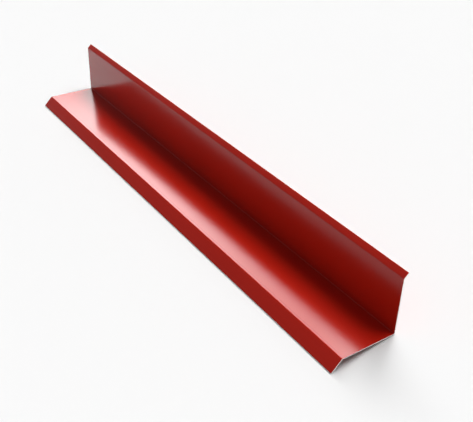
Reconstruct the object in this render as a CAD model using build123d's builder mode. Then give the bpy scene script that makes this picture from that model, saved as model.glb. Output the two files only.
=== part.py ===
from build123d import *
import os
from math import asin, atan2, cos, hypot, radians, sin

# A side flashing: one strip of coated sheet metal folded into a wall leg, a roof leg and two lips.
# Millimetres, +Z up, the length along Y. It is stored lying as it comes to rest on a level floor,
# on the outside of the corner bend and on the lower edge of the drip lip.

# Driving sizes. The widths are those of the outside faces, measured to the sharp corners
# where the faces would meet without the bend radii.
length = 1000.0             # along the fold lines
wall_leg = 96.0             # face that stands against the wall
roof_leg = 96.0             # face that lies over the roof covering
drip_lip = 25.0             # lip that turns down at the outer edge of the roof leg
wall_lip = 11.5             # lip at the top that turns back into the wall joint
drip_angle = 45.0           # degrees below the roof leg
wall_lip_angle = 45.0       # degrees back from the wall leg
thickness = 2.0             # sheet thickness
inside_bend_radius = 1.0    # radius on the hollow side of every bend
edge_radius = 0.8           # rounding of every cut edge

# The rounding of a cut edge has to leave a flat between its two sides.
largest_edge_share = 0.45
edge_round = min(edge_radius, thickness * largest_edge_share)
outside_bend_radius = inside_bend_radius + thickness

# The section is drawn with the roof leg level: the inside corner at (0, 0), the roof leg towards
# -X and the wall leg upwards. The points run along the side that is seen from above and in front.
drip_x = cos(radians(drip_angle))
drip_y = sin(radians(drip_angle))
back_x = sin(radians(wall_lip_angle))
back_y = cos(radians(wall_lip_angle))
corner = (0.0, 0.0)
wall_bend = (0.0, wall_leg)
wall_edge = (wall_lip * back_x, wall_leg + wall_lip * back_y)
drip_bend = (-roof_leg, 0.0)
drip_edge = (-roof_leg - drip_lip * drip_x, -drip_lip * drip_y)

# The other side of the sheet, one thickness behind and below.
back_corner = (thickness, -thickness)
wall_miter = thickness * (1.0 - back_y) / back_x
back_wall_bend = (thickness, wall_leg - wall_miter)
back_wall_edge = (wall_edge[0] + thickness * back_y, wall_edge[1] - thickness * back_x)
drip_miter = thickness * (1.0 - drip_x) / drip_y
back_drip_bend = (-roof_leg + drip_miter, -thickness)
back_drip_edge = (drip_edge[0] + thickness * drip_y, drip_edge[1] - thickness * drip_x)

with BuildSketch() as section:
    with BuildLine():
        Polyline(
            drip_edge, drip_bend, corner, wall_bend, wall_edge,
            back_wall_edge, back_wall_bend, back_corner, back_drip_bend, back_drip_edge,
            close=True,
        )
    make_face()
    inside_points = (corner, back_wall_bend, back_drip_bend)
    outside_points = (back_corner, wall_bend, drip_bend)
    touch = thickness / 100.0
    inside_bends = [
        v for v in section.vertices()
        if any(hypot(v.X - x, v.Y - y) < touch for x, y in inside_points)
    ]
    fillet(inside_bends, radius=inside_bend_radius)
    outside_bends = [
        v for v in section.vertices()
        if any(hypot(v.X - x, v.Y - y) < touch for x, y in outside_points)
    ]
    fillet(outside_bends, radius=outside_bend_radius)

# The floor touches the round outside of the corner bend and the rounded lower edge of the drip lip,
# so the angle of rest is that of the line that both circles stand on.
bend_centre = (-inside_bend_radius, inside_bend_radius)
edge_centre = (
    back_drip_edge[0] + edge_round * (drip_x - drip_y),
    back_drip_edge[1] + edge_round * (drip_y + drip_x),
)
run = bend_centre[0] - edge_centre[0]
drop = bend_centre[1] - edge_centre[1]
rest_angle = atan2(drop, run) - asin((outside_bend_radius - edge_round) / hypot(run, drop))
lift = (
    outside_bend_radius
    - bend_centre[1] * cos(rest_angle)
    + bend_centre[0] * sin(rest_angle)
)

rest_plane = Plane(
    origin=(0.0, 0.0, lift),
    x_dir=(cos(rest_angle), 0.0, -sin(rest_angle)),
    z_dir=(0.0, -1.0, 0.0),
)

with BuildPart() as folded:
    with BuildSketch(rest_plane):
        add(section.sketch)
    extrude(amount=length / 2.0, both=True)
    end_edges = folded.faces().sort_by(Axis.Y)[0].edges()
    end_edges += folded.faces().sort_by(Axis.Y)[-1].edges()
    cut_points = (drip_edge, back_drip_edge, wall_edge, back_wall_edge)
    long_edges = [
        e for e in folded.edges().filter_by(Axis.Y)
        if any(
            hypot(p.X - x, p.Y - y) < touch
            for p in [rest_plane.to_local_coords(e.center())]
            for x, y in cut_points
        )
    ]
    fillet(end_edges + long_edges, radius=edge_round)

# The origin is on the floor under the middle of the part.
middle = folded.part.bounding_box().center()
with BuildPart() as side_flashing:
    with Locations((-middle.X, 0.0, 0.0)):
        add(folded.part)

side_flashing.part.label = "side_flashing"

os.makedirs("parts", exist_ok=True)
export_step(side_flashing.part, "parts/side_flashing.step")
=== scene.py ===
from math import asin, atan2, cos, hypot, pi, radians, sin

import bpy
from mathutils import Matrix


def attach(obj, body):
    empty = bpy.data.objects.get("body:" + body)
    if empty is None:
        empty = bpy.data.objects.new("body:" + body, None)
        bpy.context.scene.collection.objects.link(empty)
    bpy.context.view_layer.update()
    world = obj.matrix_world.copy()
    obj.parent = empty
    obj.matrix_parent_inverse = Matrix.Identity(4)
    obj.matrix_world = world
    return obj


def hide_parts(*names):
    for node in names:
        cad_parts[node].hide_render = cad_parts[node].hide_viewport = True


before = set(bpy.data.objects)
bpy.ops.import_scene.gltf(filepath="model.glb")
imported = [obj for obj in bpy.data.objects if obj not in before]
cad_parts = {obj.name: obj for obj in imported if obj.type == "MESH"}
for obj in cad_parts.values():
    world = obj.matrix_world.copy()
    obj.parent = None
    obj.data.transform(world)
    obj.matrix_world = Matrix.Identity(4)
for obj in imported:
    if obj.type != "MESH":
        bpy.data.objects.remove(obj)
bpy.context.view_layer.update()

# A side flashing: one strip of red coated sheet metal, folded into a wall leg, a roof leg and two
# lips. The sizes are those of the part's source, in millimetres.
MILLIMETRE = 0.001
LENGTH = 1000.0
WALL_LEG = 96.0
ROOF_LEG = 96.0
DRIP_LIP = 25.0
WALL_LIP = 11.5
LIP_ANGLE = radians(45.0)
THICKNESS = 2.0
INSIDE_RADIUS = 1.0
OUTSIDE_RADIUS = INSIDE_RADIUS + THICKNESS
EDGE_ROUND = 0.8

# Faces around each bend and around each rounded cut edge. The outer half of an edge is bare metal.
BEND_STEPS = 12
EDGE_STEPS = 6
BARE_STEPS = EDGE_STEPS // 2

# Directions in the section, which is drawn with the roof leg level and the wall leg upright.
# A heading points along a face and out of the sheet, and a normal points out of its front.
DRIP_HEADING = (-cos(LIP_ANGLE), -sin(LIP_ANGLE))
DRIP_NORMAL = (-sin(LIP_ANGLE), cos(LIP_ANGLE))
ROOF_NORMAL = (0.0, 1.0)
WALL_NORMAL = (-1.0, 0.0)
TOP_HEADING = (sin(LIP_ANGLE), cos(LIP_ANGLE))
TOP_NORMAL = (-cos(LIP_ANGLE), sin(LIP_ANGLE))

# Sharp corners of the front face, with the inside corner as the origin.
CORNER = (0.0, 0.0)
DRIP_BEND = (-ROOF_LEG, 0.0)
WALL_BEND = (0.0, WALL_LEG)


def turned(vector, angle):
    """A section vector turned anticlockwise."""
    x, y = vector
    return (x * cos(angle) - y * sin(angle), x * sin(angle) + y * cos(angle))


def along(point, vector, distance):
    """The point at a distance from another, in the direction of a unit vector."""
    return (point[0] + vector[0] * distance, point[1] + vector[1] * distance)


def opposite(vector):
    """The same section vector, the other way round."""
    return (-vector[0], -vector[1])


def quarter_turn():
    """Sine and cosine of the steps from straight out of a cut edge to square with the sheet."""
    angles = [pi / 2.0 * (1.0 - step / EDGE_STEPS) for step in range(EDGE_STEPS + 1)]
    return [(sin(angle), cos(angle)) for angle in angles]


def cut_edge(tip, heading, normal):
    """Pairs around the two rounded corners of a lip's cut edge, from the edge inwards."""
    pairs = []
    base = along(tip, heading, -EDGE_ROUND)
    front_centre = along(base, normal, -EDGE_ROUND)
    back_centre = along(base, normal, EDGE_ROUND - THICKNESS)
    for out, side in quarter_turn():
        front_normal = (heading[0] * out + normal[0] * side, heading[1] * out + normal[1] * side)
        back_normal = (heading[0] * out - normal[0] * side, heading[1] * out - normal[1] * side)
        front = along(front_centre, front_normal, EDGE_ROUND)
        back = along(back_centre, back_normal, EDGE_ROUND)
        pairs.append(((front, front_normal), (back, back_normal)))
    return pairs


def bend(point, normal, turn):
    """Pairs around a bend at a sharp corner of the front. turn is positive where the front is hollow."""
    pairs = []
    radius = INSIDE_RADIUS if turn > 0.0 else OUTSIDE_RADIUS
    sign = 1.0 if turn > 0.0 else -1.0
    centre = along(point, turned(normal, turn / 2.0), sign * radius / cos(turn / 2.0))
    for step in range(BEND_STEPS + 1):
        here = turned(normal, turn * step / BEND_STEPS)
        front = along(centre, here, -sign * radius)
        back = along(front, here, -THICKNESS)
        pairs.append(((front, here), (back, opposite(here))))
    return pairs


def section_pairs():
    """Pairs of points on the front and back of the sheet, each with its outward normal.

    They run from the edge of the drip lip to the edge of the wall lip.
    """
    pairs = cut_edge(along(DRIP_BEND, DRIP_HEADING, DRIP_LIP), DRIP_HEADING, DRIP_NORMAL)
    pairs += bend(DRIP_BEND, DRIP_NORMAL, -LIP_ANGLE)
    pairs += bend(CORNER, ROOF_NORMAL, pi / 2.0)
    pairs += bend(WALL_BEND, WALL_NORMAL, -LIP_ANGLE)
    pairs += reversed(cut_edge(along(WALL_BEND, TOP_HEADING, WALL_LIP), TOP_HEADING, TOP_NORMAL))
    return pairs


def rest_transform():
    """Angle of rest and lift: the floor touches the corner bend and the drip lip's rounded edge."""
    bend_centre = (-INSIDE_RADIUS, INSIDE_RADIUS)
    edge_base = along(DRIP_BEND, DRIP_HEADING, DRIP_LIP - EDGE_ROUND)
    edge_centre = along(edge_base, DRIP_NORMAL, EDGE_ROUND - THICKNESS)
    run = bend_centre[0] - edge_centre[0]
    drop = bend_centre[1] - edge_centre[1]
    angle = atan2(drop, run) - asin((OUTSIDE_RADIUS - EDGE_ROUND) / hypot(run, drop))
    lift = OUTSIDE_RADIUS - bend_centre[1] * cos(angle) + bend_centre[0] * sin(angle)
    return angle, lift


REST_ANGLE, REST_LIFT = rest_transform()
PAIRS = section_pairs()
LOOP = [front for front, back in PAIRS] + [back for front, back in reversed(PAIRS)]


def rest_x(point):
    """x of a section point of the part at rest, before the part is moved over the origin."""
    return point[0] * cos(REST_ANGLE) + point[1] * sin(REST_ANGLE)


# The origin is under the middle of the part.
REST_SHIFT = -(min(rest_x(p) for p, n in LOOP) + max(rest_x(p) for p, n in LOOP)) / 2.0


def placed(point, y):
    """A section point at y along the length, in the row frame, in metres."""
    x = rest_x(point) + REST_SHIFT
    z = -point[0] * sin(REST_ANGLE) + point[1] * cos(REST_ANGLE) + REST_LIFT
    return (x * MILLIMETRE, y * MILLIMETRE, z * MILLIMETRE)


def section_rings():
    """Places along the length, and how far the section is drawn in there to round the two cut ends.

    The first and last rings are the outlines of the cut faces.
    """
    near = [
        (EDGE_ROUND * (1.0 - out) - LENGTH / 2.0, EDGE_ROUND * (1.0 - side))
        for out, side in quarter_turn()
    ]
    return near + [(-y, inset) for y, inset in reversed(near)]


def build_sheet():
    """The whole sheet as one closed mesh: coated faces, and bare metal where it was cut."""
    count = len(LOOP)
    half = len(PAIRS)
    rings = section_rings()
    vertices = []
    for y, inset in rings:
        vertices += [placed(along(p, n, -inset), y) for p, n in LOOP]
    faces = []
    bare = []
    for ring in range(len(rings) - 1):
        from_end = min(ring, len(rings) - 2 - ring)
        low, high = ring * count, (ring + 1) * count
        for i in range(count):
            j = (i + 1) % count
            faces.append((low + i, low + j, high + j, high + i))
            pair, next_pair = (k if k < half else count - 1 - k for k in (i, j))
            from_tip = min(pair, next_pair, half - 1 - pair, half - 1 - next_pair)
            bare.append(min(from_tip, from_end) < BARE_STEPS)
    # The two cut faces, between the front and the back of the sheet.
    last = (len(rings) - 1) * count
    for pair in range(half - 1):
        mate = count - 1 - pair
        faces.append((pair, mate, mate - 1, pair + 1))
        faces.append((last + pair, last + pair + 1, last + mate - 1, last + mate))
        bare += [True, True]
    mesh = bpy.data.meshes.new("folded_sheet")
    mesh.from_pydata(vertices, [], faces)
    mesh.validate()
    mesh.update()
    for polygon, metal in zip(mesh.polygons, bare):
        polygon.use_smooth = True
        polygon.material_index = 1 if metal else 0
    piece = bpy.data.objects.new("folded_sheet", mesh)
    bpy.context.collection.objects.link(piece)
    return piece


# Finish. The noise scales are in waves to the metre, and in a pair the first is for low noise and the
# second for high noise.
NOISE_RANGE = (0.3, 0.7)
COAT_COLOURS = ((0.435, 0.0104, 0.0034, 1.0), (0.465, 0.0112, 0.0038, 1.0))
COAT_ROUGHNESS = (0.18, 0.20)
COAT_IOR = 1.42
CLOUD_SCALE = 9.0
STREAK_SCALE = 60.0
STREAK_STRETCH = (1.0, 0.02, 1.0)
PEEL_SCALE = 900.0
PEEL_STRENGTH = 0.03
PEEL_DEPTH = 0.0002             # metres
METAL_COLOURS = ((0.80, 0.77, 0.75, 1.0), (0.93, 0.90, 0.88, 1.0))
METAL_COLOUR_RANGE = (0.25, 0.75)
METAL_ROUGHNESS = (0.35, 0.5)
MARK_SCALE = 700.0
FLOOR_COLOUR = (0.77, 0.77, 0.77, 1.0)
FLOOR_BOUNCE = (0.4, 0.4, 0.4, 1.0)     # the floor's colour for diffuse light
FLOOR_ROUGHNESS = 0.9


def new_material(name):
    """A new material, its nodes, its links and its shader."""
    material = bpy.data.materials.new(name)
    material.use_nodes = True
    nodes = material.node_tree.nodes
    return material, nodes, material.node_tree.links, nodes["Principled BSDF"]


def noise(nodes, links, scale, detail, stretch=(1.0, 1.0, 1.0)):
    """Noise that is fixed to the object. A small stretch value makes it long in that direction."""
    coordinates = nodes.new("ShaderNodeTexCoord").outputs["Object"]
    mapping = nodes.new("ShaderNodeMapping")
    mapping.inputs["Scale"].default_value = stretch
    links.new(coordinates, mapping.inputs["Vector"])
    texture = nodes.new("ShaderNodeTexNoise")
    texture.inputs["Scale"].default_value = scale
    texture.inputs["Detail"].default_value = detail
    links.new(mapping.outputs["Vector"], texture.inputs["Vector"])
    return texture.outputs["Fac"]


def value_range(nodes, links, value, low, high):
    """A number that goes from low to high with the noise."""
    node = nodes.new("ShaderNodeMapRange")
    node.inputs["From Min"].default_value = NOISE_RANGE[0]
    node.inputs["From Max"].default_value = NOISE_RANGE[1]
    node.inputs["To Min"].default_value = low
    node.inputs["To Max"].default_value = high
    links.new(value, node.inputs["Value"])
    return node.outputs["Result"]


def colour_range(nodes, links, value, colours, positions):
    """A colour that goes from the first to the second with a value."""
    ramp = nodes.new("ShaderNodeValToRGB")
    for element, colour, position in zip(ramp.color_ramp.elements, colours, positions):
        element.position = position
        element.color = colour
    links.new(value, ramp.inputs["Fac"])
    return ramp.outputs["Color"]


def red_coating():
    """Semi-gloss red coating: a little cloudy, with faint streaks along it and a fine orange peel."""
    material, nodes, links, shader = new_material("red_coating")
    cloud = noise(nodes, links, CLOUD_SCALE, detail=3.0)
    colour = colour_range(nodes, links, cloud, COAT_COLOURS, NOISE_RANGE)
    links.new(colour, shader.inputs["Base Color"])
    streak = noise(nodes, links, STREAK_SCALE, detail=2.0, stretch=STREAK_STRETCH)
    links.new(value_range(nodes, links, streak, *COAT_ROUGHNESS), shader.inputs["Roughness"])
    shader.inputs["IOR"].default_value = COAT_IOR
    peel = noise(nodes, links, PEEL_SCALE, detail=2.0)
    bump = nodes.new("ShaderNodeBump")
    bump.inputs["Strength"].default_value = PEEL_STRENGTH
    bump.inputs["Distance"].default_value = PEEL_DEPTH
    links.new(peel, bump.inputs["Height"])
    links.new(bump.outputs["Normal"], shader.inputs["Normal"])
    return material


def cut_metal():
    """Bare metal of the sheared edges, with fine marks."""
    material, nodes, links, shader = new_material("cut_metal")
    shader.inputs["Metallic"].default_value = 1.0
    marks = noise(nodes, links, MARK_SCALE, detail=3.0)
    colour = colour_range(nodes, links, marks, METAL_COLOURS, METAL_COLOUR_RANGE)
    links.new(colour, shader.inputs["Base Color"])
    links.new(value_range(nodes, links, marks, *METAL_ROUGHNESS), shader.inputs["Roughness"])
    return material


def pale_floor():
    """Pale floor. It is darker for diffuse light, so that it lights the part less from below."""
    material, nodes, links, shader = new_material("pale_floor")
    path = nodes.new("ShaderNodeLightPath")
    pale = path.outputs["Is Camera Ray"]
    for kind in ("Is Glossy Ray", "Is Transmission Ray"):
        either = nodes.new("ShaderNodeMath")
        either.operation = "ADD"
        links.new(pale, either.inputs[0])
        links.new(path.outputs[kind], either.inputs[1])
        pale = either.outputs["Value"]
    colour = colour_range(nodes, links, pale, (FLOOR_BOUNCE, FLOOR_COLOUR), (0.0, 1.0))
    links.new(colour, shader.inputs["Base Color"])
    shader.inputs["Roughness"].default_value = FLOOR_ROUGHNESS
    shader.inputs["Specular IOR Level"].default_value = 0.0
    return material


sheet = build_sheet()
sheet.data.materials.append(red_coating())
sheet.data.materials.append(cut_metal())
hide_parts("side_flashing")
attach(sheet, "root")

# Floor.
FLOOR_HALF = 30.0               # half of its side, in metres
floor_mesh = bpy.data.meshes.new("floor")
floor_mesh.from_pydata(
    [(-FLOOR_HALF, -FLOOR_HALF, 0.0), (FLOOR_HALF, -FLOOR_HALF, 0.0),
     (FLOOR_HALF, FLOOR_HALF, 0.0), (-FLOOR_HALF, FLOOR_HALF, 0.0)],
    [], [(0, 1, 2, 3)],
)
floor = bpy.data.objects.new("floor", floor_mesh)
bpy.context.collection.objects.link(floor)
floor.data.materials.append(pale_floor())

# Light: a studio dome, dim in front, with a pale horizon and one long soft strip of light behind and
# above the wall leg. The strip runs along the part. Past its middle it comes lower, so that the roof
# leg mirrors it along its outer edge, and it fades out towards the near end. A share is how much of
# a direction lies along the part: 0 is square to it, 1 is to the far end and -1 to the near end.
FRONT_STRENGTH = 0.22
HORIZON_STRENGTH = 1.0
HORIZON_END = (0.0, 0.22)       # sine of the height over which the pale horizon fades out
STRIP_NEAR_STRENGTH = 13.3
STRIP_FAR_STRENGTH = 14.3
STRIP_START = (49.0, 55.0)      # degrees above the floor behind the part, where the strip fades in
STRIP_END = (61.0, 76.0)        # degrees where it fades out overhead
STRIP_LEAN = 22.0               # degrees by which it comes down past the middle
STRIP_FADE = (0.1, 0.5)         # share over which it comes down and grows brighter
STRIP_RETURN = 6.0              # degrees by which it goes up again at the far end
STRIP_RETURN_FADE = (0.45, 0.9)     # share over which it goes up
STRIP_CUT = (-0.7, -0.05)       # share over which it fades in at the near end
STRIP_TAPER = 0.4               # power of the fall-off towards both ends


def studio_dome():
    """World light by direction: x is towards the wall, y along the part and z up."""
    world = bpy.data.worlds.new("studio")
    bpy.context.scene.world = world
    world.use_nodes = True
    nodes, links = world.node_tree.nodes, world.node_tree.links
    direction = nodes.new("ShaderNodeSeparateXYZ")
    links.new(nodes.new("ShaderNodeTexCoord").outputs["Generated"], direction.inputs["Vector"])
    x, y, z = (direction.outputs[axis] for axis in "XYZ")

    def combine(operation, first, second):
        """A sum or the like of two values, each a number or a node's output."""
        node = nodes.new("ShaderNodeMath")
        node.operation = operation
        for socket, value in zip(node.inputs, (first, second)):
            if isinstance(value, float):
                socket.default_value = value
            else:
                links.new(value, socket)
        return node.outputs["Value"]

    def fade(value, start, end, low, high):
        """low up to start, high from end on, and a smooth change between them."""
        node = nodes.new("ShaderNodeMapRange")
        node.interpolation_type = "SMOOTHSTEP"
        node.inputs["From Min"].default_value = start
        node.inputs["From Max"].default_value = end
        node.inputs["To Min"].default_value = low
        node.inputs["To Max"].default_value = high
        links.new(value, node.inputs["Value"])
        return node.outputs["Result"]

    lean = combine(
        "SUBTRACT", fade(y, *STRIP_FADE, 0.0, radians(STRIP_LEAN)),
        fade(y, *STRIP_RETURN_FADE, 0.0, radians(STRIP_RETURN)),
    )
    angle = combine("ADD", combine("ARCTAN2", z, x), lean)
    rise = fade(angle, radians(STRIP_START[0]), radians(STRIP_START[1]), 0.0, 1.0)
    fall = fade(angle, radians(STRIP_END[0]), radians(STRIP_END[1]), 1.0, 0.0)
    across = combine("MULTIPLY", rise, fall)
    taper = combine("POWER", combine("SUBTRACT", 1.0, combine("MULTIPLY", y, y)), STRIP_TAPER)
    lengthwise = combine("MULTIPLY", taper, fade(y, *STRIP_CUT, 0.0, 1.0))
    strength = fade(y, *STRIP_FADE, STRIP_NEAR_STRENGTH, STRIP_FAR_STRENGTH)
    strip = combine("MULTIPLY", across, combine("MULTIPLY", lengthwise, strength))
    horizon = fade(z, *HORIZON_END, HORIZON_STRENGTH, 0.0)
    level = combine("ADD", strip, combine("ADD", horizon, FRONT_STRENGTH))
    links.new(level, nodes["Background"].inputs["Strength"])
    nodes["Background"].inputs["Color"].default_value = (1.0, 1.0, 1.0, 1.0)


studio_dome()

# Camera, from a perspective fit to the corners of the part in the photograph.
PHOTO_WIDTH = 473.0             # pixels
FOCAL_LENGTH = 770.72           # pixels
SENSOR_WIDTH = 36.0             # millimetres
EYE = (-0.49930, -1.04873, 0.80957)     # metres
HEADING = radians(29.8519)      # from along the part towards the wall
TILT = radians(36.8702)         # below the horizon
ROLL = radians(-6.9614)         # about the line of sight
CLIP_END = 200.0                # metres
camera_data = bpy.data.cameras.new("photo_camera")
camera_data.sensor_fit = "HORIZONTAL"
camera_data.sensor_width = SENSOR_WIDTH
camera_data.lens = FOCAL_LENGTH / PHOTO_WIDTH * SENSOR_WIDTH
camera_data.clip_end = CLIP_END
camera = bpy.data.objects.new("photo_camera", camera_data)
bpy.context.collection.objects.link(camera)
aimed = Matrix.Rotation(-HEADING, 4, "Z") @ Matrix.Rotation(pi / 2.0 - TILT, 4, "X")
camera.matrix_world = Matrix.Translation(EYE) @ aimed @ Matrix.Rotation(ROLL, 4, "Z")
bpy.context.scene.camera = camera

bpy.context.scene.view_settings.view_transform = "Standard"
